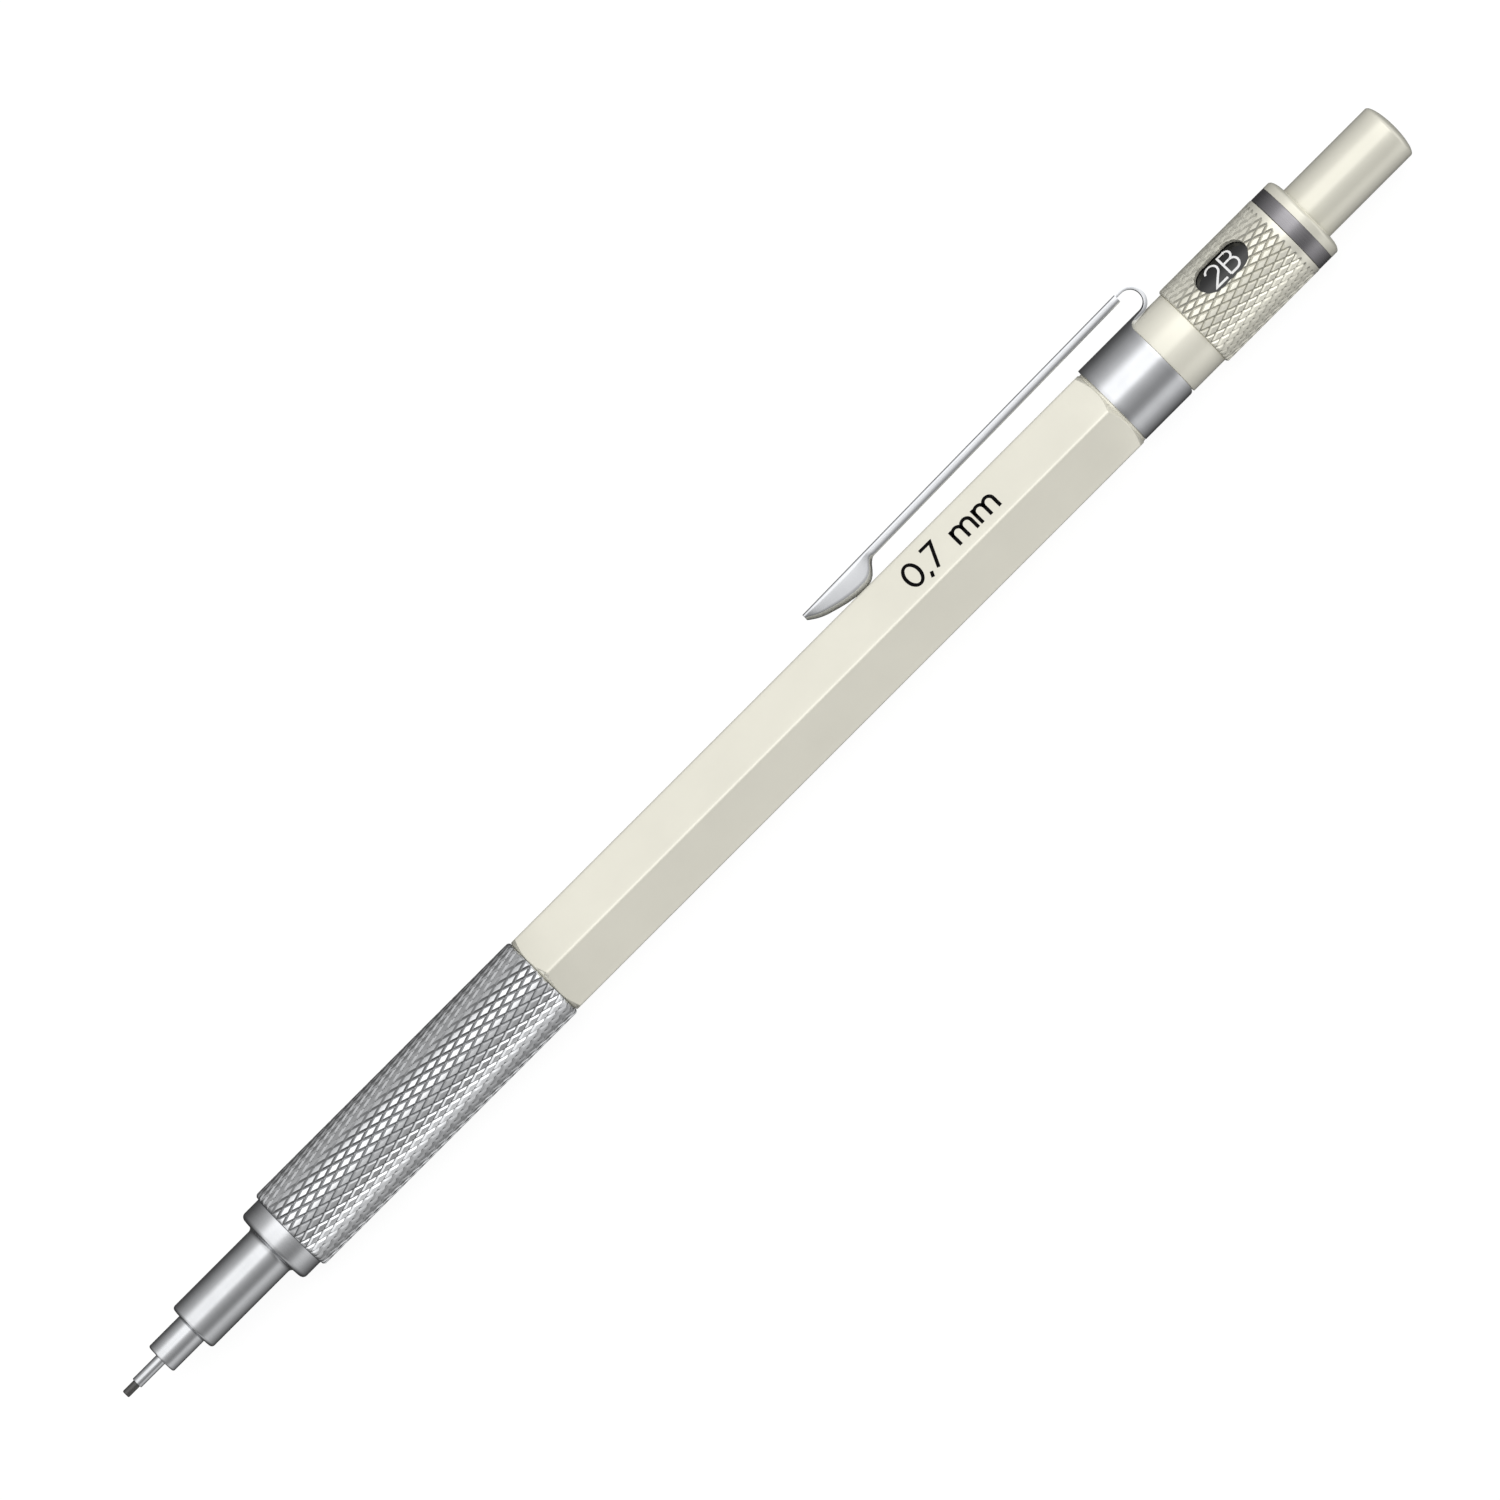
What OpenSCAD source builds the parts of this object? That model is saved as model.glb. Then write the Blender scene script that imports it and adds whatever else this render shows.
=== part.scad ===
// Drafting mechanical pencil, millimetres.
// +X runs along the pencil from the writing tip to the push button, +Z is up.
// The origin is on the axis at the mouth of the lead sleeve.
// The pencil lies with one flat of its six-sided barrel facing straight down.

/* [Lead and nose] */
// Diameter of the writing lead
lead_d = 0.7; // [0.5:0.1:0.7]
// Length of lead standing out of its sleeve
lead_out = 1.27; // [0.5:0.01:2.5]
// Length of one stick of lead
lead_len = 60; // [50:1:60]
// Outside diameter of the thin steel lead sleeve
sleeve_d = 1.01; // [1:0.01:1.2]
// Length of lead sleeve standing out of the nose
sleeve_len = 2.7; // [2:0.1:4]
// Diameter of the first step of the nose
nose_d1 = 2.79; // [2.6:0.01:3.2]
// Length of the first step of the nose
nose_len1 = 3.49; // [3.4:0.01:4.5]
// Diameter of the second step of the nose
nose_d2 = 4.47; // [4.3:0.01:5]
// Length of the second step of the nose
nose_len2 = 8.97; // [8.9:0.01:10]
// Diameter of the collar that meets the grip
collar_d = 7; // [6.4:0.1:7.4]
// Length of the collar
collar_len = 1.98; // [1.5:0.01:2.5]

/* [Grip and barrel] */
// Diameter of the knurled steel grip
grip_d = 7.78; // [7.6:0.01:8.4]
// Length of the knurled steel grip
grip_len = 28.5; // [28:0.1:32]
// Distance across the flats of the six-sided barrel
hex_flats = 7.45; // [7.3:0.01:8]
// Length of the six-sided barrel with its turned ends
hex_len = 63.75; // [60:0.01:70]
// Diameter of the round neck behind the barrel
neck_d = 7.28; // [7.2:0.01:7.4]

/* [Clip] */
// Length of the clip ring along the pencil
ring_len = 5.4; // [4.5:0.1:6]
// Thickness of the sheet the clip is bent from
clip_sheet = 0.3; // [0.2:0.05:0.35]
// Width of the clip arm
arm_w = 3; // [2.6:0.1:3.4]
// Width of the strap between ring and arm
strap_w = 2.4; // [2:0.1:2.6]

/* [Grade indicator] */
// Diameter of the knurled indicator sleeve
indicator_d = 7.78; // [7.6:0.01:8.4]
// Length of the knurled indicator sleeve
indicator_len = 10.35; // [10:0.05:11]
// Length of the window along the pencil
window_len = 5.16; // [4:0.01:6]
// Width of the window across the pencil
window_w = 2.56; // [2:0.01:2.8]
// Direction the window faces, turned from +Y towards +Z
window_deg = 92; // [0:1:359]
// Length of the dark band behind the indicator
band_len = 1.36; // [1:0.01:2]

/* [Push button] */
// Diameter of the push button
button_d = 5.2; // [5:0.01:5.3]
// Length of push button standing out of the end ring
button_out = 9.84; // [9.8:0.01:12]
// Travel of the push button
button_travel = 2.8; // [1:0.1:3]

/* [Hidden] */

$fn = 96;
over = 1; // how far a cutting shape runs past the face it cuts
touch = 0.02; // gap between faces that rest on each other across a joint

// radial clearances
run_gap = 0.06; // button in the end ring
thread_gap = 0.05; // screwed joints, drawn plain
lead_gap = 0.02; // lead in its steel sleeve
jaw_gap = 0.01; // lead in the retainer and between the closed jaws

// stations along the pencil
x_nose = sleeve_len;
x_step2 = x_nose + nose_len1;
x_collar = x_step2 + nose_len2;
x_grip = x_collar + collar_len;
x_hex = x_grip + grip_len;
x_hex_end = x_hex + hex_len;
ring_seat_gap = 0.2; // neck left bare between the barrel and the clip ring
x_ring = x_hex_end + ring_seat_gap;
x_ring_end = x_ring + ring_len;
neck_after_ring = 3.54; // neck left bare behind the clip ring
x_indicator = x_ring_end + neck_after_ring;
x_band = x_indicator + indicator_len;
x_end_ring = x_band + band_len;
end_ring_len = 1.02;
x_button = x_end_ring + end_ring_len;
x_button_end = x_button + button_out;

// lead sleeve
sleeve_wall_r = sleeve_d / 2;
sleeve_bore_r = lead_d / 2 + lead_gap;
sleeve_seat = 3.3; // length of sleeve hidden in the nose
sleeve_foot_r = 0.7; // wider foot that fills the hole in the nose
x_sleeve_end = x_nose + sleeve_seat;

// inside of the nose
retainer_r = 1.1;
retainer_len = 2.8;
x_retainer = x_sleeve_end + 0.6;
x_retainer_end = x_retainer + retainer_len;
lead_way_r = 0.45; // free passage for the lead
jaw_room_r = 1.75; // room the jaws open in
ring_room_r = 2.1; // room the clutch ring slides in
ring_room_setback = 0.35; // the room starts behind the undercut, so the wall there stays whole
x_ring_room = x_collar + ring_room_setback;
spigot_r = 2.75; // screwed spigot behind the collar
spigot_len = 4.85;
x_spigot_end = x_grip + spigot_len;
corner1 = 0.16; // rounding of the first step
corner2 = 0.28; // rounding of the second step
corner_collar = 0.5; // rounding of the collar
relief_depth = 0.16; // shallow undercut where the second step meets the collar
relief_len = 0.35;

// clutch: jaws, ring and housing
clutch_ring_travel = 0.9;
clutch_ring_len = 2.5;
clutch_ring_r = ring_room_r - 0.05;
x_clutch_ring = x_ring_room + clutch_ring_travel;
x_housing = x_clutch_ring + clutch_ring_len + touch;
jaw_r = 1.45; // widest radius of the closed jaws
jaw_len = 2.6; // straight part of the jaw heads
jaw_taper = 0.125; // radius lost per millimetre of jaw cone
x_jaw_cone = x_ring_room + 0.2;
x_jaw = x_jaw_cone - jaw_len;
jaw_cone_len = 3.2;
jaw_stem_r = 0.95;
jaw_slit_w = 0.22;
jaw_slit_len = 14;
jaw_count = 3;
cone_gap = 0.03; // clutch ring to jaw cone, square to the axis
housing_front_r = 2.05;
housing_rear_r = 2.35;
housing_bore_r = 1.85;
housing_hole_r = 1.15;
housing_web = 1.2;
x_housing_step = x_hex - 10.64;
x_housing_end = x_hex - 1.64;

// return spring between the housing web and the connector
spring_wire_r = 0.16;
spring_mid_r = 1.5;
spring_turns = 9;
spring_steps = 14; // straight pieces in one turn
spring_sides = 6; // sides of the wire
x_spring = x_housing + housing_web;
x_connector = x_spring + 12.75;
connector_r = 1.75;
connector_head = 3.6;
connector_tail = 6;
x_tube = x_connector + connector_head;

// lead tube and what is pushed on to its end
tube_r = 1.8;
tube_bore_r = 1.45;
x_tube_end = x_button + 1.7;
holder_r = 1.95;
holder_grip_r = 2.03; // raised band the push button grips
holder_grip_len = 1.5;
holder_bore_r = 1.7;
holder_spigot = 1.5;
holder_cup = 3.5;
holder_floor = 0.8;
eraser_len = 5.4;
button_bore_r = 2.05;
button_skirt = 4.05; // length of button hidden inside the end ring
button_roof = 0.9;

// threaded insert joining grip and barrel
insert_r = 3;
insert_bore_r = housing_rear_r;
insert_front = 9.6;
insert_back = 11.4;
grip_mid_r = 2.45; // plain bore in the middle of the grip
grip_front_bore_end = x_spigot_end + 0.5;
grip_rear_bore_start = x_hex - insert_front - 0.5;
grip_chamfer = 0.18;

// barrel
barrel_bore_r = 2.6;
hex_r = hex_flats / 2 / cos(30);
edge_r = hex_r - 0.08; // radius the six long edges are rounded to
turned_r = 3.62; // radius of the flat ends of the six-sided part
turned_slope = 0.745; // run along X for each millimetre of radius
neck_r = neck_d / 2;
seat_r = 3.33; // groove the clip ring sits in
guide_r = 1.9; // web that guides the lead tube
button_rest_gap = 0.3; // left under the button when it is pressed right in
rear_spigot_r = 3;
button_way_r = button_d / 2 + run_gap;
x_guide = x_indicator - 2.4;
x_guide_end = x_button - button_skirt - button_travel - button_rest_gap;
x_barrel_end = x_end_ring + 0.66;

// clip, drawn with its arm above +Z and turned into place
clip_deg = 30; // direction of the clip, from +Y towards +Z
ring_shift = 0.16; // the clip ring stands off-centre, towards the arm
ring_r = 3.83;
ring_bore_r = 3.5;
loop_h = 4.95; // height of the loop's centre over the pencil axis
loop_r = 1.275;
x_loop = x_ring_end + 1.45;
arm_plate = 0.3;
arm_depth = 0.72;
arm_inner_w = arm_w - 2 * 0.35;
arm_top_h = loop_h + loop_r;
arm_tip_drop = 0.46; // how much lower the arm's tip stands than its root
x_arm_root = x_loop - 0.59;
x_arm_tip = x_arm_root - 35.25;
arm_slope = arm_tip_drop / (x_arm_root - x_arm_tip);
keel_h = hex_flats / 2 + touch; // the arm's keel rests on the flat

// grade indicator
drum_r = 3.32;
drum_gap = 0.08; // drum to indicator sleeve
indicator_bore_r = drum_r + drum_gap;
groove_len = 0.8;
groove_r = 2.74;
x_groove = x_indicator + 0.3;
friction_mid_r = 3.07;
friction_r = 0.29;
x_drum = x_groove + groove_len + 0.25;
drum_len = x_band - touch - x_drum;
window_from_end = 5; // window's middle, from the sleeve's front end
rim_chamfer = 0.15;
band_r = 3.865;
end_ring_r = 3.87;
end_ring_flat = 0.55;
end_ring_neck_r = 2.78;

// colours
steel = [0.68, 0.69, 0.71];
cream = [0.90, 0.89, 0.82];
brass = [0.78, 0.63, 0.33];
chrome = [0.86, 0.87, 0.89];
dark_metal = [0.35, 0.34, 0.36];
black_plastic = [0.06, 0.06, 0.07];
rubber_black = [0.12, 0.12, 0.12];
graphite = [0.22, 0.21, 0.20];
white_rubber = [0.93, 0.93, 0.91];
clear_grey = [0.72, 0.73, 0.74];

// Points of a quarter turn about (x, r), from one direction to another.
function quarter(x, r, size_x, size_r, from, steps = 6) =
  [for (i = [0:steps]) [x + size_x * cos(from - 90 * i / steps), r + size_r * sin(from - 90 * i / steps)]];

// Solid of revolution about the pencil axis from points given as [x, radius].
module turned(points) {
  rotate([0, 90, 0])
    rotate_extrude()
      polygon([for (p = points) [p[1], p[0]]]);
}

// Straight round bar along the pencil axis.
module bar(x0, x1, r) {
  translate([x0, 0, 0])
    rotate([0, 90, 0])
      cylinder(r = r, h = x1 - x0);
}

// Conical bar along the pencil axis.
module taper(x0, x1, r0, r1) {
  translate([x0, 0, 0])
    rotate([0, 90, 0])
      cylinder(r1 = r0, r2 = r1, h = x1 - x0);
}

// Round tube along the pencil axis.
module tube(x0, x1, r, bore) {
  difference() {
    bar(x0, x1, r);
    bar(x0 - over, x1 + over, bore);
  }
}

// Turns what is drawn above +Z to the clip's side of the pencil.
module to_clip_side() {
  rotate([clip_deg - 90, 0, 0])
    children();
}

module lead() {
  color(graphite)
    bar(-lead_out, lead_len - lead_out, lead_d / 2);
}

module lead_sleeve() {
  color(steel)
    difference() {
      union() {
        bar(0, x_sleeve_end, sleeve_wall_r);
        bar(x_nose, x_sleeve_end, sleeve_foot_r);
      }
      bar(-over, x_sleeve_end + over, sleeve_bore_r);
    }
}

module lead_retainer() {
  color(rubber_black)
    tube(x_retainer, x_retainer_end, retainer_r, lead_d / 2 + jaw_gap);
}

module nose() {
  r1 = nose_d1 / 2;
  r2 = nose_d2 / 2;
  r3 = collar_d / 2;
  outline = concat(
    [[x_nose, 0]],
    quarter(x_nose + corner1, r1 - corner1, corner1, corner1, 180),
    [[x_step2, r1]],
    quarter(x_step2 + corner2, r2 - corner2, corner2, corner2, 180),
    [
      [x_collar - relief_len, r2],
      [x_collar - relief_len / 2, r2 - relief_depth],
      [x_collar, r2 - relief_depth]
    ],
    quarter(x_collar + corner_collar, r3 - corner_collar, corner_collar, corner_collar, 180),
    [[x_grip, r3], [x_grip, spigot_r], [x_spigot_end, spigot_r], [x_spigot_end, 0]]
  );
  color(steel)
    difference() {
      turned(outline);
      bar(x_nose - over, x_sleeve_end, sleeve_foot_r);
      bar(x_sleeve_end - over, x_retainer + over, lead_way_r);
      bar(x_retainer, x_retainer_end, retainer_r);
      bar(x_retainer_end, x_ring_room, jaw_room_r);
      bar(x_ring_room, x_spigot_end + over, ring_room_r);
    }
}

module grip() {
  r = grip_d / 2;
  outline = [
    [x_grip, 0],
    [x_grip, r - grip_chamfer],
    [x_grip + grip_chamfer, r],
    [x_hex - grip_chamfer, r],
    [x_hex - touch, r - grip_chamfer],
    [x_hex - touch, 0]
  ];
  color(steel)
    difference() {
      turned(outline);
      bar(x_grip - over, grip_front_bore_end, spigot_r + thread_gap);
      bar(grip_front_bore_end - over, grip_rear_bore_start + over, grip_mid_r);
      bar(grip_rear_bore_start, x_hex + over, insert_r + thread_gap);
    }
}

// Radius of the jaw cone at a station along the pencil.
function jaw_cone_r(x) = jaw_r - jaw_taper * (x - x_jaw_cone);

module clutch_ring() {
  x_end = x_clutch_ring + clutch_ring_len;
  color(brass)
    difference() {
      bar(x_clutch_ring, x_end, clutch_ring_r);
      taper(
        x_clutch_ring - over, x_end + over,
        jaw_cone_r(x_clutch_ring - over) + cone_gap, jaw_cone_r(x_end + over) + cone_gap
      );
    }
}

module chuck() {
  x_cone_end = x_jaw_cone + jaw_cone_len;
  outline = [
    [x_jaw, 0],
    [x_jaw, jaw_r - 0.25],
    [x_jaw + 0.25, jaw_r],
    [x_jaw_cone, jaw_r],
    [x_cone_end, jaw_cone_r(x_cone_end)],
    [x_cone_end, jaw_stem_r],
    [x_tube, jaw_stem_r],
    [x_tube, 0]
  ];
  color(brass)
    difference() {
      turned(outline);
      bar(x_jaw - over, x_cone_end + over, lead_d / 2 + jaw_gap);
      bar(x_cone_end, x_tube + over, lead_way_r);
      for (i = [0:jaw_count - 1])
        rotate([360 / jaw_count * i, 0, 0])
          translate([x_jaw - over, -jaw_slit_w / 2, 0])
            cube([jaw_slit_len + over, jaw_slit_w, jaw_r + over]);
    }
}

module return_spring() {
  steps = spring_turns * spring_steps;
  pitch = (x_connector - x_spring - 2 * spring_wire_r - 2 * touch) / spring_turns;
  x_first = x_spring + spring_wire_r + touch;
  points = [
    for (i = [0:steps])
      let (turn = 360 * i / spring_steps, x = x_first + pitch * i / spring_steps)
        for (k = [0:spring_sides - 1])
          let (
            side = 360 * k / spring_sides,
            r = spring_mid_r + spring_wire_r * cos(side)
          )
            [x + spring_wire_r * sin(side), r * cos(turn), r * sin(turn)]
  ];
  last = steps * spring_sides;
  sides = [
    for (i = [0:steps - 1])
      for (k = [0:spring_sides - 1])
        let (
          a = i * spring_sides + k,
          b = i * spring_sides + (k + 1) % spring_sides
        )
          each [[a, b + spring_sides, b], [a, a + spring_sides, b + spring_sides]]
  ];
  caps = [
    [for (k = [0:spring_sides - 1]) k],
    [for (k = [spring_sides - 1:-1:0]) last + k]
  ];
  color(chrome)
    polyhedron(points = points, faces = concat(sides, caps));
}

module clutch_sleeve() {
  color(brass)
    difference() {
      union() {
        bar(x_housing, x_housing_end, housing_front_r);
        bar(x_housing_step, x_housing_end, housing_rear_r);
      }
      bar(x_housing - over, x_spring + over, housing_hole_r);
      bar(x_spring, x_housing_end + over, housing_bore_r);
    }
}

module chuck_connector() {
  x_end = x_tube + connector_tail;
  funnel = 2.5;
  color(brass)
    difference() {
      union() {
        bar(x_connector, x_tube, connector_r);
        bar(x_tube - over, x_end, tube_bore_r);
      }
      bar(x_connector - over, x_tube, jaw_stem_r);
      bar(x_tube - over, x_end + over, lead_way_r);
      taper(x_end - funnel, x_end + over, lead_way_r, tube_bore_r + 0.1);
    }
}

module lead_tube() {
  color(clear_grey)
    tube(x_tube, x_tube_end, tube_r, tube_bore_r);
}

module thread_insert() {
  color(steel)
    tube(x_hex - insert_front, x_hex + insert_back, insert_r, insert_bore_r);
}

// Six-sided prism with rounded long edges and a turned cone at each end.
module hex_body() {
  run = (hex_r - turned_r) * turned_slope;
  cones = [
    [x_hex, 0],
    [x_hex, turned_r],
    [x_hex + run, hex_r],
    [x_hex_end - run, hex_r],
    [x_hex_end, turned_r],
    [x_hex_end, 0]
  ];
  intersection() {
    translate([x_hex, 0, 0])
      rotate([0, 90, 0])
        rotate([0, 0, 30])
          cylinder(r = hex_r, h = hex_len, $fn = 6);
    bar(x_hex, x_hex_end, edge_r);
    turned(cones);
  }
}

module barrel() {
  color(cream)
    difference() {
      union() {
        hex_body();
        bar(x_hex_end - over, x_ring, neck_r);
        bar(x_ring - over, x_ring_end + over, seat_r);
        bar(x_ring_end, x_indicator - touch, neck_r);
        bar(x_indicator - over, x_barrel_end, rear_spigot_r);
      }
      bar(x_hex - over, x_hex + insert_back, insert_r);
      bar(x_hex + insert_back - over, x_guide, barrel_bore_r);
      bar(x_guide - over, x_guide_end + over, guide_r);
      bar(x_guide_end, x_barrel_end + over, button_way_r);
      tube(x_groove, x_groove + groove_len, rear_spigot_r + over, groove_r);
    }
}

module clip_ring() {
  color(chrome)
    to_clip_side() {
      translate([0, 0, ring_shift])
        tube(x_ring, x_ring_end, ring_r, ring_bore_r);
      translate([x_ring_end - 0.2, -strap_w / 2, loop_h - loop_r])
        cube([x_loop - x_ring_end + 0.2, strap_w, clip_sheet]);
    }
}

module clip_loop() {
  color(chrome)
    to_clip_side()
      intersection() {
        translate([x_loop, 0, loop_h])
          rotate([90, 0, 0])
            difference() {
              cylinder(r = loop_r, h = strap_w, center = true);
              cylinder(r = loop_r - clip_sheet, h = strap_w + over, center = true);
            }
        translate([x_loop, -strap_w, loop_h - 2 * loop_r])
          cube([2 * loop_r, 2 * strap_w, 4 * loop_r]);
      }
}

// Height of the arm's upper face at a station along the pencil.
function arm_h(x) = arm_top_h - arm_slope * max(x_arm_root - x, 0);

module clip_arm() {
  x_keel = x_arm_tip + 3.95;
  keel_flat = 1.41;
  x_heel = x_keel + keel_flat;
  heel_len = 1.56;
  keel_rise = arm_h(x_arm_tip) - 0.57 - keel_h;
  under = [
    [x_arm_tip + 0.29, keel_h + keel_rise * 0.85],
    [x_arm_tip + 0.93, keel_h + keel_rise * 0.60],
    [x_arm_tip + 2.35, keel_h + keel_rise * 0.25],
    [x_arm_tip + 3.2, keel_h + keel_rise * 0.09],
    [x_keel, keel_h],
    [x_heel, keel_h],
    [x_heel + 0.36, keel_h + keel_rise * 0.1],
    [x_heel + 0.64, keel_h + keel_rise * 0.28],
    [x_heel + 0.86, keel_h + keel_rise * 0.51],
    [x_heel + 1.14, keel_h + keel_rise * 0.78]
  ];
  side = concat(
    [
      [x_arm_tip, arm_h(x_arm_tip) - 0.57],
      [x_arm_tip, arm_h(x_arm_tip) - 0.05],
      [x_arm_tip + 0.12, arm_h(x_arm_tip)],
      [x_arm_root, arm_top_h],
      [x_arm_root, arm_top_h - arm_depth],
      [x_heel + heel_len, arm_h(x_heel) - arm_depth]
    ],
    [for (i = [len(under) - 1:-1:0]) under[i]]
  );
  hollow = [
    [x_heel + heel_len, arm_h(x_heel) - arm_plate],
    [x_arm_root + over, arm_h(x_arm_root + over) - arm_plate],
    [x_arm_root + over, keel_h],
    [x_heel + heel_len, keel_h]
  ];
  color(chrome)
    to_clip_side()
      rotate([90, 0, 0]) {
        difference() {
          linear_extrude(height = arm_w, center = true)
            polygon(side);
          linear_extrude(height = arm_inner_w, center = true)
            polygon(hollow);
        }
        translate([x_arm_root - 0.2, arm_top_h - clip_sheet, -strap_w / 2])
          cube([x_loop - x_arm_root + 0.2, clip_sheet, strap_w]);
      }
}

module grade_drum() {
  color(black_plastic)
    tube(x_drum, x_drum + drum_len, drum_r, rear_spigot_r);
}

module indicator_sleeve() {
  r = indicator_d / 2;
  x0 = x_indicator;
  x1 = x_band - touch;
  outline = [
    [x0, 0],
    [x0, r - rim_chamfer],
    [x0 + rim_chamfer, r],
    [x1, r],
    [x1, 0]
  ];
  flat_half = (window_len - window_w) / 2;
  color(cream)
    difference() {
      turned(outline);
      bar(x0 - over, x1 + over, indicator_bore_r);
      rotate([window_deg - 90, 0, 0])
        translate([x0 + window_from_end, 0, 0]) {
          for (side = [-1, 1])
            translate([side * flat_half, 0, 0])
              cylinder(r = window_w / 2, h = r + over);
          translate([-flat_half, -window_w / 2, 0])
            cube([2 * flat_half, window_w, r + over]);
        }
    }
}

module friction_ring() {
  color(rubber_black)
    translate([x_groove + groove_len / 2, 0, 0])
      rotate([0, 90, 0])
        rotate_extrude()
          translate([friction_mid_r, 0])
            circle(r = friction_r);
}

module band_ring() {
  color(dark_metal)
    tube(x_band, x_end_ring, band_r, rear_spigot_r);
}

module end_ring() {
  shoulder = end_ring_len - end_ring_flat;
  outline = concat(
    [[x_end_ring, 0], [x_end_ring, end_ring_r]],
    quarter(x_end_ring + end_ring_flat, end_ring_neck_r, shoulder, end_ring_r - end_ring_neck_r, 90),
    [[x_button, 0]]
  );
  color(cream)
    difference() {
      turned(outline);
      bar(x_end_ring - over, x_barrel_end, rear_spigot_r);
      bar(x_end_ring - over, x_button + over, button_way_r);
    }
}

module eraser_holder() {
  x_cup_end = x_tube_end + holder_cup;
  color(steel)
    difference() {
      union() {
        bar(x_tube_end - holder_spigot, x_tube_end + over, tube_bore_r);
        bar(x_tube_end, x_cup_end, holder_r);
        bar(x_tube_end, x_tube_end + holder_grip_len, holder_grip_r);
      }
      bar(x_tube_end + holder_floor, x_cup_end + over, holder_bore_r);
    }
}

module eraser() {
  x0 = x_tube_end + holder_floor;
  round = 0.2;
  outline = concat(
    [[x0, 0], [x0, holder_bore_r]],
    quarter(x0 + eraser_len - round, holder_bore_r - round, round, round, 90),
    [[x0 + eraser_len, 0]]
  );
  color(white_rubber)
    turned(outline);
}

module push_button() {
  r = button_d / 2;
  corner_x = 0.5;
  corner_r = 0.85;
  dome = 0.17;
  x_corner = x_button_end - dome - corner_x;
  outline = concat(
    [[x_button - button_skirt, 0], [x_button - button_skirt, r]],
    quarter(x_corner, r - corner_r, corner_x, corner_r, 90, 8),
    [[x_button_end - dome / 4, (r - corner_r) / 2], [x_button_end, 0]]
  );
  color(cream)
    difference() {
      turned(outline);
      bar(x_button - button_skirt - over, x_button_end - button_roof, button_bore_r);
    }
}

lead();
lead_sleeve();
lead_retainer();
nose();
grip();
clutch_ring();
chuck();
return_spring();
clutch_sleeve();
chuck_connector();
lead_tube();
thread_insert();
barrel();
clip_ring();
clip_loop();
clip_arm();
grade_drum();
indicator_sleeve();
friction_ring();
band_ring();
end_ring();
eraser_holder();
eraser();
push_button();
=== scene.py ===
import math

import bmesh
import bpy
from mathutils import Matrix, Vector


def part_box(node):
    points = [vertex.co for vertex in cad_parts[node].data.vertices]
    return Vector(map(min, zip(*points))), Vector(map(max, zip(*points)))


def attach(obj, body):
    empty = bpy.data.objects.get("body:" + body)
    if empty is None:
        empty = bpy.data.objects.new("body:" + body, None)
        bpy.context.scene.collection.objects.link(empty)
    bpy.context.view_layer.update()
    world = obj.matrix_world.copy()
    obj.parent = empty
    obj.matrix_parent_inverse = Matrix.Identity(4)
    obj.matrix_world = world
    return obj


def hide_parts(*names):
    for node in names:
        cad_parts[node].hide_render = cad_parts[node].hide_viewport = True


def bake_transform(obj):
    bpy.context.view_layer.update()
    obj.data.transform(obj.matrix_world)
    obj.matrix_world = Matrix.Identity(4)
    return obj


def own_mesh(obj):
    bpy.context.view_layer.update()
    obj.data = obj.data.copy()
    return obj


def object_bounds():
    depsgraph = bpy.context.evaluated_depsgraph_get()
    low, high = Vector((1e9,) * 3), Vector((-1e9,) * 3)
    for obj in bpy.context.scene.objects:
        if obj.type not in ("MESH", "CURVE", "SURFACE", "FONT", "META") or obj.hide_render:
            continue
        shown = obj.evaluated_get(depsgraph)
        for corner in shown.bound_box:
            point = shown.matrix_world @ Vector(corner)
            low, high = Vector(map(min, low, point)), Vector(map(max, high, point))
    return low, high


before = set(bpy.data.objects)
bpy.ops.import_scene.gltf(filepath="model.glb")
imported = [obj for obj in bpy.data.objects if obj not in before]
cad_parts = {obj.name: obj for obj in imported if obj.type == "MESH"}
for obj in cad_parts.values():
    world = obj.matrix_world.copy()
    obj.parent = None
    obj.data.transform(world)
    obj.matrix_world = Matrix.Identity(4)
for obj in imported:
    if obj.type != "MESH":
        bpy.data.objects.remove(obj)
cad_low, cad_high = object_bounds()

MM = 0.001
PI = math.pi
TURN = 2 * PI


def span(node):
    """First and last station of a CAD node along the pencil, in millimetres."""
    low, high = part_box(node)
    return low.x / MM, high.x / MM


def radius(node):
    """Outside radius of a round CAD node, in millimetres."""
    low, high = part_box(node)
    return (high.z - low.z) / 2 / MM


# ---------------------------------------------------------------- directions
CLIP_ANGLE = math.radians(30)      # from +Y towards +Z
VIEW_ANGLE = math.radians(120)     # the camera looks from here
CLIP_DIR = Vector((0, math.cos(CLIP_ANGLE), math.sin(CLIP_ANGLE)))
VIEW_DIR = Vector((0, math.cos(VIEW_ANGLE), math.sin(VIEW_ANGLE)))
ALONG = Vector((1, 0, 0))

# ---------------------------------------------------------------- camera
VIEW_WIDTH = 119.0476 * MM         # what the square frame takes in at the pencil's distance
CAMERA_DISTANCE = 1.492            # metres
SENSOR = 36.0
LOOK_AT = ALONG * 69.94 * MM + CLIP_DIR * 1.129 * MM


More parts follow.
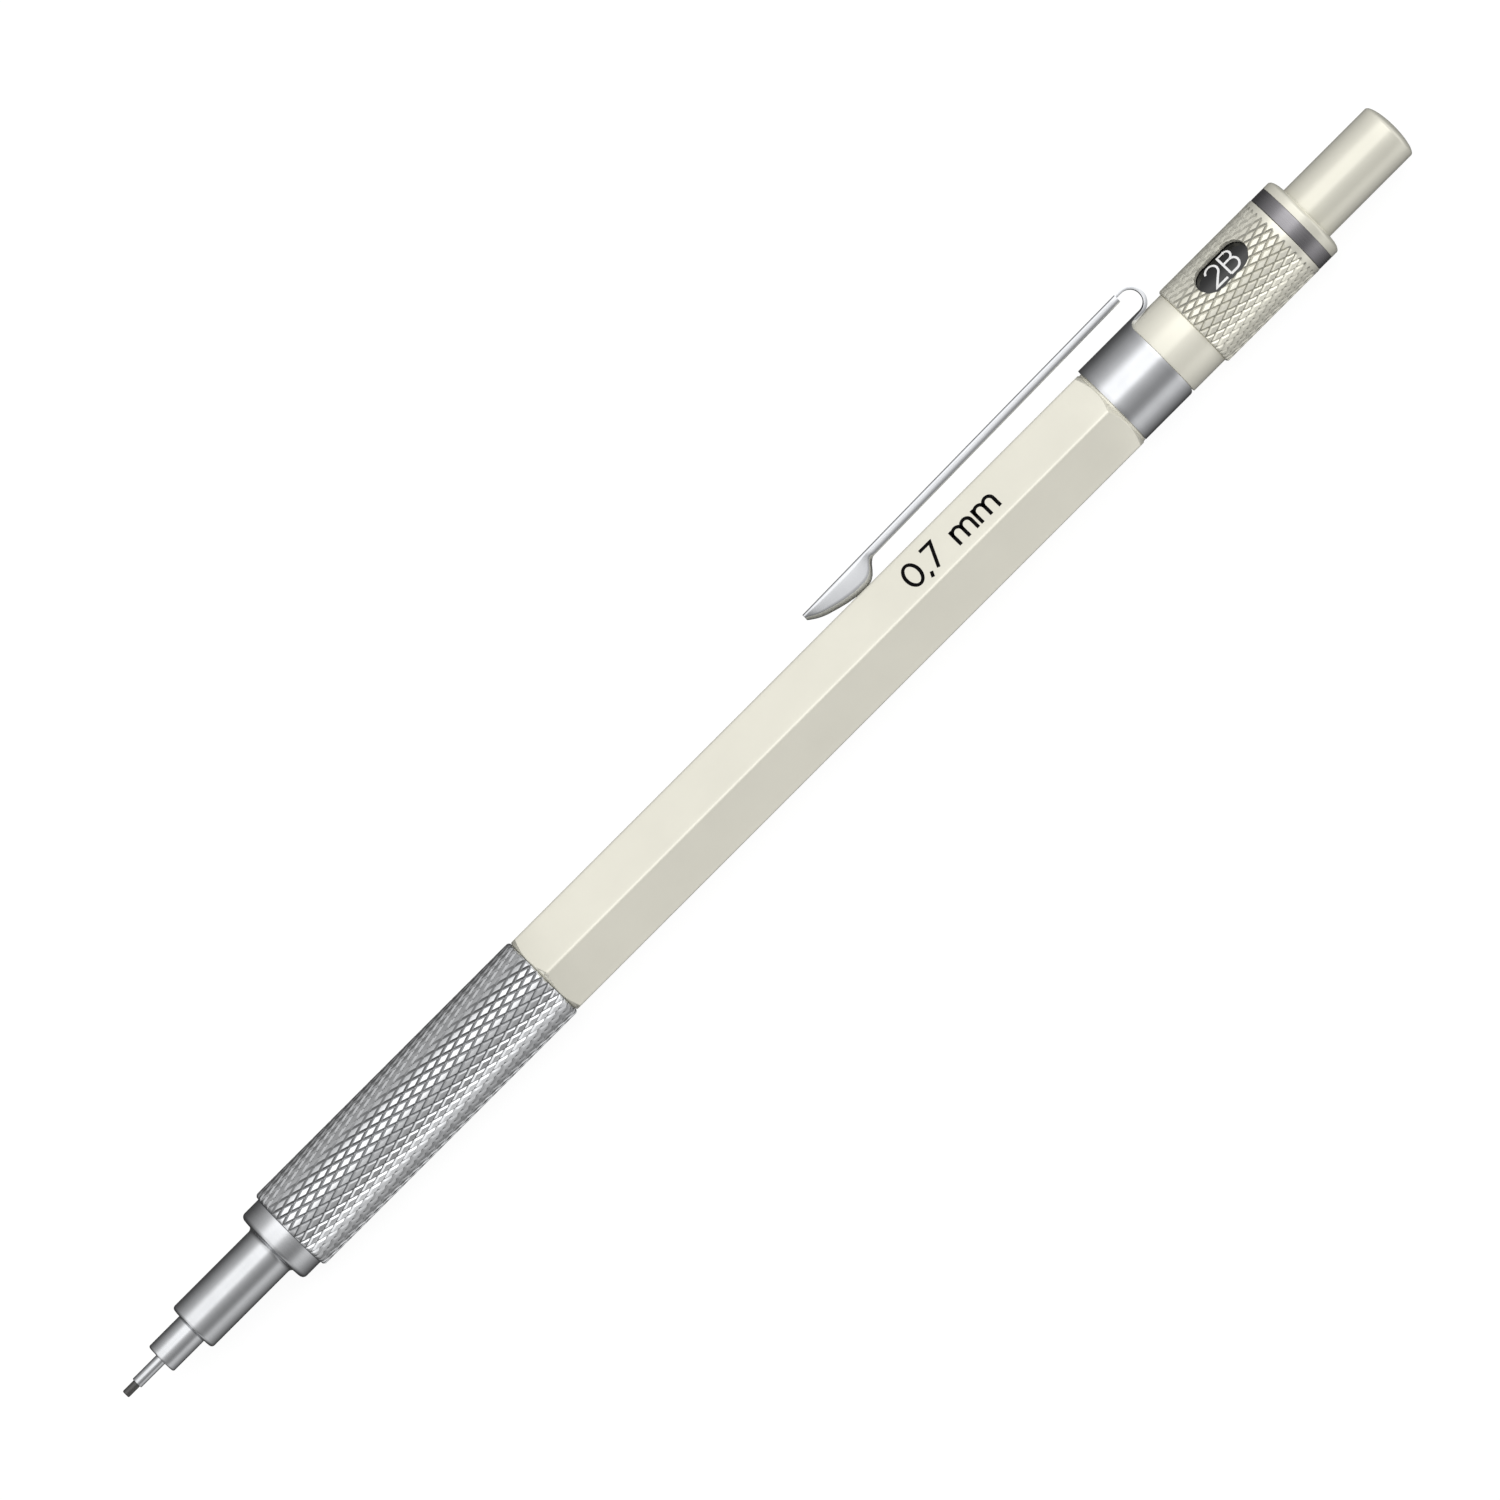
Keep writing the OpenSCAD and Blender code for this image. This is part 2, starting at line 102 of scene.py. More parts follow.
def make_camera():
    data = bpy.data.cameras.new("camera")
    data.type = "PERSP"
    data.sensor_width = SENSOR
    data.sensor_fit = "HORIZONTAL"
    data.lens = SENSOR * CAMERA_DISTANCE / VIEW_WIDTH
    data.clip_start = 0.01
    data.clip_end = 50
    camera = bpy.data.objects.new("camera", data)
    bpy.context.scene.collection.objects.link(camera)
    right = (ALONG - CLIP_DIR).normalized()
    up = (ALONG + CLIP_DIR).normalized()
    turn = Matrix((right, up, VIEW_DIR)).transposed().to_4x4()
    camera.matrix_world = Matrix.Translation(LOOK_AT + VIEW_DIR * CAMERA_DISTANCE) @ turn
    bpy.context.scene.camera = camera


make_camera()


# ---------------------------------------------------------------- mesh helpers
def ring_point(x, r, angle):
    """A point at station x and radius r, at an angle from +Y towards +Z."""
    return Vector((x * MM, r * math.cos(angle) * MM, r * math.sin(angle) * MM))


def new_piece(name, points, faces, sharp=35.0, smooth=True, flank_shade=()):
    """A mesh object; the faces listed in the last argument get the value 1 in a face attribute named like
    it, which carries painted shade.
    """
    mesh = bpy.data.meshes.new(name)
    mesh.from_pydata([tuple(p) for p in points], [], faces)
    if flank_shade:
        marks = [0.0] * len(faces)
        for index in flank_shade:
            marks[index] = 1.0
        mesh.attributes.new("flank_shade", "FLOAT", "FACE").data.foreach_set("value", marks)
    work = bmesh.new()
    work.from_mesh(mesh)
    bmesh.ops.remove_doubles(work, verts=work.verts, dist=1e-8)
    bmesh.ops.recalc_face_normals(work, faces=work.faces)
    work.to_mesh(mesh)
    work.free()
    mesh.update()
    if smooth:
        mesh.shade_smooth()
        mesh.set_sharp_from_angle(angle=math.radians(sharp))
    piece = bpy.data.objects.new(name, mesh)
    bpy.context.scene.collection.objects.link(piece)
    return piece


def finished(piece, body, material, slot, *nodes):
    """Gives a piece its material and body, and hides the CAD nodes that it stands for."""
    piece.data.materials.clear()
    piece.data.materials.append(material)
    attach(piece, body)
    if nodes:
        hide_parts(*nodes)
    return piece


def bake(piece):
    """Turns a piece with modifiers into a plain mesh."""
    bpy.context.view_layer.update()
    graph = bpy.context.evaluated_depsgraph_get()
    mesh = bpy.data.meshes.new_from_object(piece.evaluated_get(graph))
    piece.modifiers.clear()
    piece.data = mesh
    return piece


def fillet(points, steps=5):
    """Rounds the corners of an outline given as (x, r) or (x, r, fillet radius)."""
    out = []
    count = len(points)
    for i, p in enumerate(points):
        size = p[2] if len(p) > 2 else 0
        here = Vector((p[0], p[1]))
        if size <= 0:
            out.append((here.x, here.y))
            continue
        before = Vector(points[i - 1][:2]) - here
        after = Vector(points[(i + 1) % count][:2]) - here
        half = before.angle(after) / 2
        reach = min(size / math.tan(half), before.length * 0.49, after.length * 0.49)
        size = reach * math.tan(half)
        a = here + before.normalized() * reach
        b = here + after.normalized() * reach
        centre = here + (before.normalized() + after.normalized()).normalized() * size / math.sin(half)
        start = math.atan2(a.y - centre.y, a.x - centre.x)
        sweep = math.atan2(b.y - centre.y, b.x - centre.x) - start
        sweep = (sweep + PI) % TURN - PI
        for k in range(steps + 1):
            t = start + sweep * k / steps
            out.append((centre.x + size * math.cos(t), centre.y + size * math.sin(t)))
    return out


def smooth_step(t):
    t = max(0.0, min(1.0, t))
    return t * t * (3 - 2 * t)


class Rows:
    """Collects rings of points and the faces between them."""

    def __init__(self):
        self.points = []
        self.faces = []
        # faces that get painted shade on the knurls' falling flanks
        self.flank_shade = []

    def ring(self, ring):
        first = len(self.points)
        self.points.extend(ring)
        return list(range(first, first + len(ring)))

    def join(self, a, b):
        if len(a) == 1 or len(b) == 1:
            pole, loop = (a, b) if len(a) == 1 else (b, a)
            for k in range(len(loop)):
                self.faces.append((pole[0], loop[k], loop[(k + 1) % len(loop)]))
            return
        n = len(a)
        for k in range(n):
            m = (k + 1) % n
            self.faces.append((a[k], a[m], b[m], b[k]))

    def turned(self, outline, segments):
        """One ring for each (x, r) of an outline; returns the rings."""
        rings = []
        for x, r in outline:
            if r < 1e-6:
                rings.append(self.ring([Vector((x * MM, 0, 0))]))
            else:
                rings.append(self.ring([ring_point(x, r, TURN * k / segments) for k in range(segments)]))
        for a, b in zip(rings, rings[1:]):
            self.join(a, b)
        return rings


def lathe(name, outline, segments=128, closed=False, sharp=35.0):
    rows = Rows()
    rings = rows.turned(outline, segments)
    if closed:
        rows.join(rings[-1], rings[0])
    return new_piece(name, rows.points, rows.faces, sharp)


# ---------------------------------------------------------------- materials
def material(name, base, metallic, roughness):
    """Principled shader with fixed values on its own sockets."""
    made = bpy.data.materials.new(name)
    made.use_nodes = True
    shader = made.node_tree.nodes["Principled BSDF"]
    shader.inputs["Base Color"].default_value = (*base, 1)
    shader.inputs["Metallic"].default_value = metallic
    shader.inputs["Roughness"].default_value = roughness
    return made


def add(made, kind, **values):
    node = made.node_tree.nodes.new(kind)
    for key, value in values.items():
        setattr(node, key, value)
    return node


def object_coords(made, scale):
    """Object coordinates in metres, stretched by a scale along each axis."""
    tree = made.node_tree
    coords = add(made, "ShaderNodeTexCoord")
    mapping = add(made, "ShaderNodeMapping")
    mapping.inputs["Scale"].default_value = scale
    tree.links.new(coords.outputs["Object"], mapping.inputs["Vector"])
    return mapping.outputs["Vector"]


def noise(made, vector, scale, detail=3.0, rough=0.5):
    node = add(made, "ShaderNodeTexNoise")
    node.inputs["Scale"].default_value = scale
    node.inputs["Detail"].default_value = detail
    node.inputs["Roughness"].default_value = rough
    made.node_tree.links.new(vector, node.inputs["Vector"])
    return node.outputs["Fac"]


def remap(made, value, low, high, from_low=0.3, from_high=0.7):
    node = add(made, "ShaderNodeMapRange")
    node.inputs["From Min"].default_value = from_low
    node.inputs["From Max"].default_value = from_high
    node.inputs["To Min"].default_value = low
    node.inputs["To Max"].default_value = high
    made.node_tree.links.new(value, node.inputs["Value"])
    return node.outputs["Result"]


def shade(made, value, dark, light, from_low=0.3, from_high=0.7):
    """Colour between two tones, driven by a texture value."""
    ramp = add(made, "ShaderNodeValToRGB")
    ramp.color_ramp.elements[0].position = from_low
    ramp.color_ramp.elements[0].color = (*dark, 1)
    ramp.color_ramp.elements[1].position = from_high
    ramp.color_ramp.elements[1].color = (*light, 1)
    made.node_tree.links.new(value, ramp.inputs["Fac"])
    return ramp.outputs["Color"]


def fix(made, socket, value):
    """Sets a number on the shader's own socket."""
    made.node_tree.nodes["Principled BSDF"].inputs[socket].default_value = value


def to_shader(made, socket, output):
    made.node_tree.links.new(output, made.node_tree.nodes["Principled BSDF"].inputs[socket])


def bump(made, height, strength, distance):
    node = add(made, "ShaderNodeBump")
    node.inputs["Strength"].default_value = strength
    node.inputs["Distance"].default_value = distance
    made.node_tree.links.new(height, node.inputs["Height"])
    to_shader(made, "Normal", node.outputs["Normal"])


def tone(base, factor):
    return tuple(min(1.0, c * factor) for c in base)


def turned_metal(name, base, roughness, grain=0.35, spread=0.05):
    """Metal with fine turning lines that run round the pencil, and faint handling wear."""
    made = material(name, base, 1.0, roughness)
    lines = noise(made, object_coords(made, (9000, 260, 260)), 1.0, 2.0, 0.6)
    wear = noise(made, object_coords(made, (420, 420, 420)), 1.0, 4.0, 0.55)
    to_shader(made, "Base Color", shade(made, wear, tone(base, 0.955), tone(base, 1.03)))
    to_shader(made, "Roughness", remap(made, lines, roughness - spread, roughness + spread))
    bump(made, lines, grain, 0.000004)
    return made


def plastic(name, base, roughness, mottling=0.02, grain=0.12):
    """Moulded plastic with a fine skin, slight unevenness of colour and of gloss."""
    made = material(name, base, 0.0, roughness)
    cloud = noise(made, object_coords(made, (160, 160, 160)), 1.0, 4.0, 0.6)
    skin = noise(made, object_coords(made, (5200, 5200, 5200)), 1.0, 2.0, 0.5)
    to_shader(made, "Base Color", shade(made, cloud, tone(base, 1 - mottling), tone(base, 1 + mottling)))
    to_shader(made, "Roughness", remap(made, cloud, roughness - 0.03, roughness + 0.04))
    bump(made, skin, grain, 0.000006)
    return made


def paint_flank_shade(made, darkest):
    """Darkens the marked flank faces with painted shade: a device for the photograph's tones, not a known
    feature.
    """
    tree = made.node_tree
    mark = add(made, "ShaderNodeAttribute", attribute_name="flank_shade")
    shade_of = remap(made, mark.outputs["Fac"], 1.0, darkest, 0.0, 1.0)
    shader = tree.nodes["Principled BSDF"]
    base = shader.inputs["Base Color"].links[0].from_socket
    mix = add(made, "ShaderNodeMix", data_type="RGBA", blend_type="MULTIPLY")
    mix.inputs["Factor"].default_value = 1.0
    tree.links.new(base, mix.inputs[6])
    tree.links.new(shade_of, mix.inputs[7])
    tree.links.new(mix.outputs[2], shader.inputs["Base Color"])


steel = turned_metal("satin_steel", (0.645, 0.655, 0.672), 0.20, grain=0.10)
knurl_steel = turned_metal("knurled_steel", (0.77, 0.78, 0.795), 0.15, grain=0.03)
clip_metal = turned_metal("clip_plating", (0.675, 0.685, 0.705), 0.18, grain=0.03, spread=0.02)
band_metal = turned_metal("gunmetal", (0.325, 0.315, 0.33), 0.25, grain=0.10)
brass = turned_metal("brass", (0.78, 0.58, 0.27), 0.22)
wire = turned_metal("spring_wire", (0.66, 0.67, 0.69), 0.20, grain=0.1)
cream = plastic("ivory_barrel", (0.925, 0.902, 0.785), 0.20)
pearl = plastic("ivory_fittings", (0.845, 0.825, 0.715), 0.20)
for made, sheen in ((cream, 0.25), (pearl, 0.31)):
    fix(made, "Metallic", sheen)
knurl_pearl = plastic("ivory_knurl", (0.92, 0.90, 0.785), 0.16)
fix(knurl_pearl, "Metallic", 0.45)
# painted shade on the steep falling flanks of both knurls
paint_flank_shade(knurl_steel, 0.38)
paint_flank_shade(knurl_pearl, 0.45)
black = plastic("black_plastic", (0.003, 0.003, 0.0035), 0.11, mottling=0.2)
fix(black, "Specular IOR Level", 0.75)
tube_grey = plastic("tube_plastic", (0.56, 0.57, 0.58), 0.38)
rubber = plastic("black_rubber", (0.022, 0.022, 0.022), 0.62, mottling=0.25, grain=0.4)
eraser_white = plastic("white_eraser", (0.80, 0.80, 0.78), 0.72, mottling=0.04, grain=0.5)
graphite = turned_metal("graphite", (0.10, 0.098, 0.095), 0.40, grain=0.25)
fix(graphite, "Metallic", 0.5)
ink = plastic("black_ink", (0.003, 0.003, 0.003), 0.6, mottling=0.2)
fix(ink, "Specular IOR Level", 0.05)
white_ink = plastic("white_ink", (0.96, 0.96, 0.96), 0.45)


# ---------------------------------------------------------------- stations, millimetres
x_sleeve, x_sleeve_end = span("lead_sleeve")
x_nose, x_spigot_end = span("nose")
x_grip, x_grip_end = span("grip")
x_barrel, x_barrel_end = span("barrel")
x_ring, x_loop = span("clip_ring")
x_ind, x_ind_end = span("indicator_sleeve")
x_band, x_band_end = span("band_ring")
x_end, x_end_end = span("end_ring")
x_skirt, x_tip = span("push_button")
x_drum, x_drum_end = span("grade_drum")
x_front_insert, x_back_insert = span("thread_insert")
x_bush, x_bush_end = span("lead_retainer")
x_spring, x_spring_end = span("return_spring")
x_arm_tip = span("clip_arm")[0]
r_grip = radius("grip")
r_ind = radius("indicator_sleeve")
r_drum = radius("grade_drum")
r_button = radius("push_button")
flats_half = -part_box("barrel")[0].z / MM
x_hex_end = x_ring - 0.2
x_foot = x_nose + 0.5              # where the lead sleeve widens inside the nose
x_ring_end = x_ring + 5.4
x_stop = x_skirt - 3.1             # web in the barrel that the button stops short of
SPIGOT_R = 2.75                    # crest of the nose's screw thread
INSERT_R = 3.0                     # crest of the threaded insert
NECK_R = 3.64                      # the barrel's turned neck
THREAD_PITCH = 0.5
THREAD_DEPTH = 0.22


# ---------------------------------------------------------------- nose
def thread(rows, x0, x1, r_crest, segments):
    """Rings of a screw thread, whose crest turns round the axis."""
    pitch, depth, steps = THREAD_PITCH, THREAD_DEPTH, 8
    count = round((x1 - x0) / pitch * steps)
    rings = []
    for i in range(count + 1):
        x = x0 + (x1 - x0) * i / count
        fade = min(1.0, (x - x0) / pitch, (x1 - x) / pitch)
        ring = []
        for k in range(segments):
            phase = (x - x0) / pitch - k / segments
            wave = abs(2 * (phase - math.floor(phase)) - 1)
            cut = (0.15 + 0.85 * wave) * fade + 0.15 * (1 - fade)
            ring.append(ring_point(x, r_crest - depth * cut, TURN * k / segments))
        rings.append(rows.ring(ring))
    for a, b in zip(rings, rings[1:]):
        rows.join(a, b)
    return rings


def build_nose():
    r1, r2, r3 = 1.395, 2.235, 3.5
    x2, x3 = x_nose + 3.49, x_grip - 1.98
    segments = 160
    steps_of_nose = fillet([
        (x_nose, 0.50, 0.03), (x_nose, r1, 0.17), (x2 - 0.10, r1, 0.05), (x2, r1 - 0.05, 0.02),
        (x2, r2, 0.30), (x3 - 0.60, r2),
    ], steps=7)
    cove = 0.40
    neck = [(x3 - cove + cove * math.sin(PI / 2 * k / 8), r2 + cove * (1 - math.cos(PI / 2 * k / 8)))
            for k in range(9)]
    collar = fillet([
        (x3, r2 + cove), (x3, r3, 0.50), (x_grip, r3, 0.06), (x_grip, SPIGOT_R - 0.1),
    ], steps=7)[1:]
    front = steps_of_nose + neck + collar
    rows = Rows()
    rings = rows.turned(front, segments)
    screw = thread(rows, x_grip + 0.35, x_spigot_end - 0.25, SPIGOT_R, segments)
    rows.join(rings[-1], screw[0])
    x_ring_room = x3 + 0.35        # the clutch ring slides behind here
    inside = [
        (x_spigot_end, 2.5), (x_spigot_end, 2.1), (x_ring_room, 2.1), (x_ring_room, 1.75),
        (x_bush_end, 1.75), (x_bush_end, 1.1), (x_bush, 1.1), (x_bush, 0.45),
        (x_sleeve_end, 0.45), (x_sleeve_end, 0.72), (x_foot, 0.72), (x_foot, 0.50),
    ]
    inner = rows.turned(inside, segments)
    rows.join(screw[-1], inner[0])
    rows.join(inner[-1], rings[0])
    finished(new_piece("nose_turned", rows.points, rows.faces), "nose_body", steel, "nose_steel", "nose")


build_nose()


def build_lead_and_sleeve():
    low, high = span("lead")
    worn = fillet([(low, 0), (low, 0.28, 0.05), (low + 0.06, 0.35, 0.04), (high - 0.03, 0.35, 0.02),
                   (high, 0.33), (high, 0)])
    finished(lathe("lead_stick", worn, 64), "lead_body", graphite, "graphite", "lead")
    pipe = fillet([
        (x_sleeve, 0.37, 0.01), (x_sleeve, 0.49, 0.05), (x_foot, 0.49), (x_foot, 0.70),
        (x_sleeve_end, 0.70), (x_sleeve_end, 0.37),
    ])
    finished(lathe("lead_pipe", pipe, 96, closed=True), "nose_body", steel, "nose_steel", "lead_sleeve")


build_lead_and_sleeve()


# ---------------------------------------------------------------- knurls
KNURLS_AROUND = 36
GRIP_PITCHES = 14                  # diamonds in a row along the grip
GRIP_DEPTH = 0.115                 # millimetres
SLEEVE_DEPTH = 0.12
CHAMFER_SLOPE = 0.95               # radius gained for each millimetre of a knurl's end chamfer
TOOTH = (0, 0.5, 1, 1, 1, 1, 1, 1, 1, 0.5)   # height of the metal from one groove to the next
SHADED_STRIPS = 2                    # strips of faces on the falling side of TOOTH that get painted shade


def knurl(rows, x0, x1, crest, depth, pitches, limit, keep=None):
    """Crossed grooves that leave small flat-topped diamonds, between two stations.

    The points follow the two families of grooves. limit(x) is the largest radius allowed at a
    station, and keep(x) is how much of the relief stays there. Returns the end rings.
    """
    fine = len(TOOTH)
    per_row = KNURLS_AROUND * fine
    last = round(2 * fine * pitches)
    rings = []
    for q in range(last + 1):
        ring = []
        x = x0 + (x1 - x0) * q / last
        for k in range(per_row):
            p = 2 * k + (q & 1)
            angle = TURN * p / (2 * per_row)
            u = (p + q) / (2 * fine)
            v = (p - q) / (2 * fine)
            across = round(fine * (u - math.floor(u))) % fine
            other = round(fine * (v - math.floor(v))) % fine
            h = min(TOOTH[across], TOOTH[other])
            if keep:
                h = 1 - (1 - h) * keep(x)
            ring.append(ring_point(x, min(crest - depth * (1 - h), limit(x)), angle))
        rings.append(rows.ring(ring))
    for q in range(last + 1):
        odd = q & 1
        for k in range(per_row):
            m = (k + 1) % per_row
            other = (k + odd) % per_row
            middle = 2 * k + odd + 1
            strip = max((middle + q) % (2 * fine) // 2, (middle - q) % (2 * fine) // 2)
            # faces on the falling side of the tooth get painted shade
            if strip >= fine - SHADED_STRIPS:
                rows.flank_shade.append(len(rows.faces))
            if q == 0:
                rows.faces.append((rings[0][k], rings[0][m], rings[1][other]))
            elif q == last:
                rows.faces.append((rings[q][k], rings[q - 1][other], rings[q][m]))
            else:
                rows.faces.append((rings[q][k], rings[q - 1][other], rings[q][m], rings[q + 1][other]))
    return rings[0], rings[-1]


def build_grip():
    x0, x1 = x_grip + 0.02, x_grip_end
    crest = r_grip
    segments = KNURLS_AROUND * len(TOOTH)

    def limit(x):
        return crest - 0.16 + min(x - x0, x1 - x) * CHAMFER_SLOPE

    rows = Rows()
    first, last = knurl(rows, x0, x1, crest, GRIP_DEPTH, GRIP_PITCHES, limit)
    front_face = rows.turned([(x0, 2.80), (x0, 3.62)], segments)
    rows.join(front_face[-1], first)
    x_insert_room = x_front_insert - 0.5
    x_spigot_room = x_spigot_end + 0.5
    back = rows.turned([
        (x1, 3.62), (x1, 3.05), (x_insert_room, 3.05), (x_insert_room, 2.45), (x_spigot_room, 2.45),
        (x_spigot_room, 2.80),
    ], segments)
    rows.join(last, back[0])
    rows.join(back[-1], front_face[0])
    piece = new_piece("grip_knurled", rows.points, rows.faces, sharp=25, flank_shade=rows.flank_shade)
    finished(piece, "grip_body", knurl_steel, "knurled_steel", "grip")


build_grip()


# ---------------------------------------------------------------- barrel
def hex_corner(flat, corner):
    """Distance of a corner's centre from the axis, and half the angle that the corner takes."""
    centre = (flat - corner) / math.cos(PI / 6)
    return centre, math.atan2(corner * math.sin(PI / 6), centre + corner * math.cos(PI / 6))


def hex_radius(angle, flat, corner):
    """Radius of a six-sided outline with rounded corners; a corner points along +Y."""
    t = (angle + PI / 6) % (PI / 3) - PI / 6
    centre, edge = hex_corner(flat, corner)
    if abs(t) < edge:
        return centre * math.cos(t) + math.sqrt(corner ** 2 - (centre * math.sin(t)) ** 2)
    return flat / math.cos(PI / 6 - abs(t))


def hex_angles(flat, corner, per_corner=8, per_flat=14):
    """Angles of the points round the barrel, closer together at its six corners."""
    edge = hex_corner(flat, corner)[1]
    angles = []
    for side in range(6):
        middle = side * PI / 3
        for k in range(per_corner):
            angles.append(middle - edge + 2 * edge * k / per_corner)
        for k in range(per_flat):
            angles.append(middle + edge + (PI / 3 - 2 * edge) * k / per_flat)
    return angles


def build_barrel():
    flat, corner = flats_half, 0.34
    angles = hex_angles(flat, corner)
    turned_r, slope = 3.62, 0.745
    rows = Rows()

    def ring(station, size):
        return rows.ring([ring_point(station(a), size(a), a) for a in angles])

    def plain(x, r):
        return ring(lambda a: x, lambda a: r)

    def hexed(a):
        return hex_radius(a, flat, corner)

    def under_flats(a):
        return hexed(a) - soft * 0.22

    def reach(a):
        return (hexed(a) - turned_r) * slope

    def cone(a):
        return max(0, reach(a) - soft)

    def on_cone(t):
        return lambda a: turned_r + (hexed(a) - turned_r) * cone(a) / reach(a) * t

    def along_flats(t):
        return lambda a: x_barrel + reach(a) + soft + (x_hex_end - x_barrel - 2 * reach(a) - 2 * soft) * t

    soft = 0.045                   # rounding between the turned cones and the flats
    flat_steps = 24
    rings = [plain(x_barrel, 3.0), plain(x_barrel, turned_r - 0.05), plain(x_barrel + 0.03, turned_r)]
    for t in (0.5, 1.0):
        rings.append(ring(lambda a: x_barrel + 0.03 + max(0, reach(a) - soft - 0.03) * t, on_cone(t)))
    rings.append(ring(lambda a: x_barrel + reach(a) + soft * 0.1, under_flats))
    rings.append(ring(lambda a: x_barrel + reach(a) + soft, hexed))
    rings += [ring(along_flats(k / flat_steps), hexed) for k in range(1, flat_steps)]
    rings.append(ring(lambda a: x_hex_end - reach(a) - soft, hexed))
    rings.append(ring(lambda a: x_hex_end - reach(a) - soft * 0.1, under_flats))
    for t in (1.0, 0.5):
        rings.append(ring(lambda a: x_hex_end - cone(a) * t, on_cone(t)))
    x_seat, x_seat_end, seat_r = x_ring - 0.03, x_ring_end + 0.04, 3.33    # groove under the clip's ring
    x_groove, x_groove_end, groove_r = x_ind + 0.3, x_ind + 1.1, 2.74      # groove for the friction ring
    x_guide = x_ind - 2.4          # front of the web round the lead tube
    outline = fillet([
        (x_hex_end, NECK_R - 0.02), (x_hex_end + 0.02, NECK_R), (x_seat, NECK_R, 0.03), (x_seat, seat_r),
        (x_seat_end, seat_r), (x_seat_end, NECK_R, 0.03), (x_ind - 0.02, NECK_R, 0.05), (x_ind - 0.02, 3.0),
        (x_groove, 3.0), (x_groove, groove_r), (x_groove_end, groove_r), (x_groove_end, 3.0),
        (x_barrel_end, 3.0, 0.04), (x_barrel_end, 2.66), (x_stop, 2.66), (x_stop, 1.9), (x_guide, 1.9),
        (x_guide, 2.6), (x_back_insert, 2.6), (x_back_insert, 3.0),
    ], steps=3)
    rings += [plain(x, r) for x, r in outline]
    for a, b in zip(rings, rings[1:]):
        rows.join(a, b)
    rows.join(rings[-1], rings[0])
    piece = new_piece("barrel_moulded", rows.points, rows.faces, sharp=32)
    finished(piece, "barrel_body", cream, "cream", "barrel")


build_barrel()


def build_insert():
    segments = 128
    rows = Rows()
    screw = thread(rows, x_front_insert + 0.2, x_barrel - 1.2, INSERT_R, segments)
    front = rows.turned([(x_front_insert, 2.35), (x_front_insert, 2.75)], segments)
    rows.join(front[-1], screw[0])
    back = rows.turned([
        (x_barrel - 0.9, 2.97), (x_barrel - 0.7, INSERT_R),
        (x_back_insert, INSERT_R), (x_back_insert, 2.35),
    ], segments)
    rows.join(screw[-1], back[0])
    rows.join(back[-1], front[0])
    piece = new_piece("insert_threaded", rows.points, rows.faces)
    finished(piece, "barrel_body", steel, "nose_steel", "thread_insert")


build_insert()


# ---------------------------------------------------------------- clip
SHEET = 0.3
RING_MID = 3.665                   # middle of the ring's sheet
RING_SHIFT = 0.16                  # the ring stands this far off the axis, towards the arm
LOOP_H = 4.95
LOOP_MID = 1.125
PLATE_H = LOOP_H + LOOP_MID        # middle of the arm's plate at its root
STRAP_HALF = 1.2
STRAP_REACH = 0.70                 # the strap leaves the ring over a fillet this long
STRAP_ANGLE = math.asin(STRAP_HALF / RING_MID)
SWEEP_ANGLE = math.radians(42)     # the fillet reaches this far round the ring
STRAP_COLS, SIDE_COLS, ROUND_COLS = 12, 10, 84
STRAP_ANGLES = [-STRAP_ANGLE + 2 * STRAP_ANGLE * k / STRAP_COLS for k in range(STRAP_COLS + 1)]
FOLD, FOLD_STEPS = 0.04, 3         # bend between the arm's plate and its sides
SIDE_STEPS, PANEL_STEPS = 14, 7
x_root = x_loop - 0.59
x_heel = x_arm_tip + 6.9
KEEL = [                           # lower edge: distance from the arm's tip, height over the axis
    (0, 5.19), (0.22, 5.02), (0.60, 4.78), (0.95, 4.60), (1.4, 4.42), (2.3, 4.16), (3.1, 3.96),
    (3.9, 3.82), (4.6, 3.765), (5.2, 3.77), (5.6, 3.87), (5.95, 4.10), (6.25, 4.42), (6.5, 4.74),
    (6.75, 4.97), (7.05, 5.11), (x_root - x_arm_tip, 5.53),
]


class Strip:
    """Points and faces of the bent strip that the clip is made of."""

    def __init__(self):
        self.points = []
        self.faces = []
        self.widths = [RING_MID * math.sin(a) for a in STRAP_ANGLES]
        self.drops = [RING_MID * (math.cos(a) - 1) for a in STRAP_ANGLES]

    def vert(self, x, w, h):
        """Adds a point: w towards the camera side, h away from the pencil."""
        self.points.append((ALONG * x + VIEW_DIR * w + CLIP_DIR * h) * MM)
        return len(self.points) - 1

    def stitch(self, row, new):
        for k in range(len(row) - 1):
            self.faces.append((row[k], new[k], new[k + 1], row[k + 1]))

    def next_row(self, row, x, h, lean_x, lean_h, curve):
        """Adds a row of the strap. lean is the outward direction of the sheet."""
        new = [self.vert(x + lean_x * drop * curve, w, h + lean_h * drop * curve)
               for w, drop in zip(self.widths, self.drops)]
        self.stitch(row, new)
        return new


def ring_edge(angle):
    """Station of the clip ring's rear edge, at an angle from the arm's side."""
    a = abs((angle + PI) % TURN - PI)
    if a <= STRAP_ANGLE:
        return x_ring_end + STRAP_REACH
    if a < SWEEP_ANGLE:
        t = (SWEEP_ANGLE - a) / (SWEEP_ANGLE - STRAP_ANGLE)
        return x_ring_end + STRAP_REACH * (1 - math.sqrt(1 - t * t))
    back = max(0.0, (a - math.radians(146)) / math.radians(34))
    return x_ring_end - 0.38 * back ** 2


